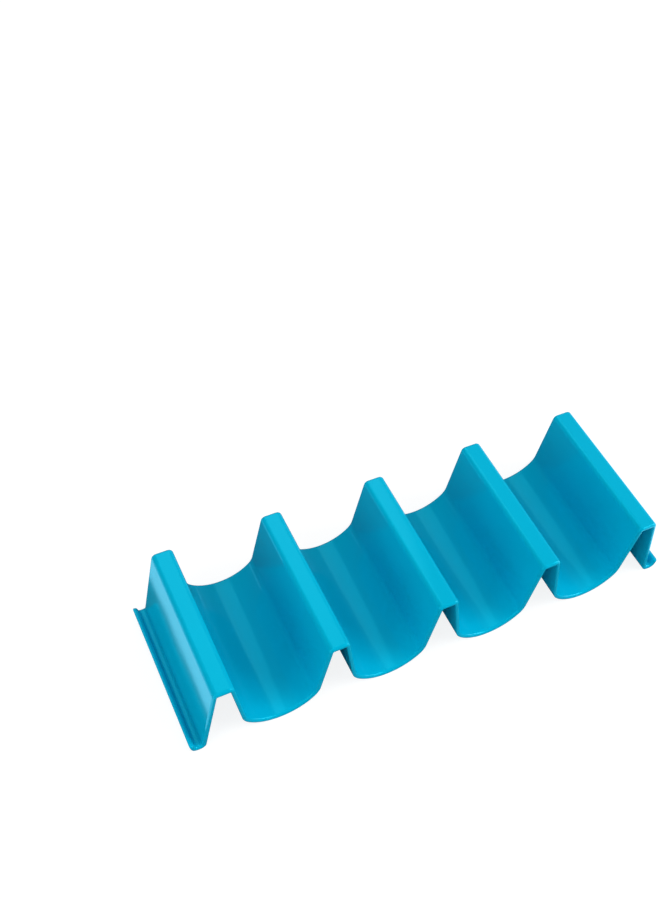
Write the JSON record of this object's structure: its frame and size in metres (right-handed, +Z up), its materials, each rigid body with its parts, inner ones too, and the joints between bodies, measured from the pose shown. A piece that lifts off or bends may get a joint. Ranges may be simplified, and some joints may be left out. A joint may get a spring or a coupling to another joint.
{
  "type": "taco holder",
  "caption": "Low rack for serving filled tacos upright: U-shaped troughs side by side between flat ridges, with a sloping leg and a turned-up foot at each end, in glossy blue plastic.",
  "frame": {"origin": "on the table, under the middle of the rack", "axes": "+X along the row of troughs, +Y through the troughs from the front rim to the back rim, +Z up"},
  "size_m": [0.2322, 0.072, 0.0405],
  "materials": {
    "rack": "smooth, glossy, opaque moulded plastic in cyan blue"
  },
  "bodies": {
    "root": {"taco_rack": "rack"}
  },
  "joints": []
}
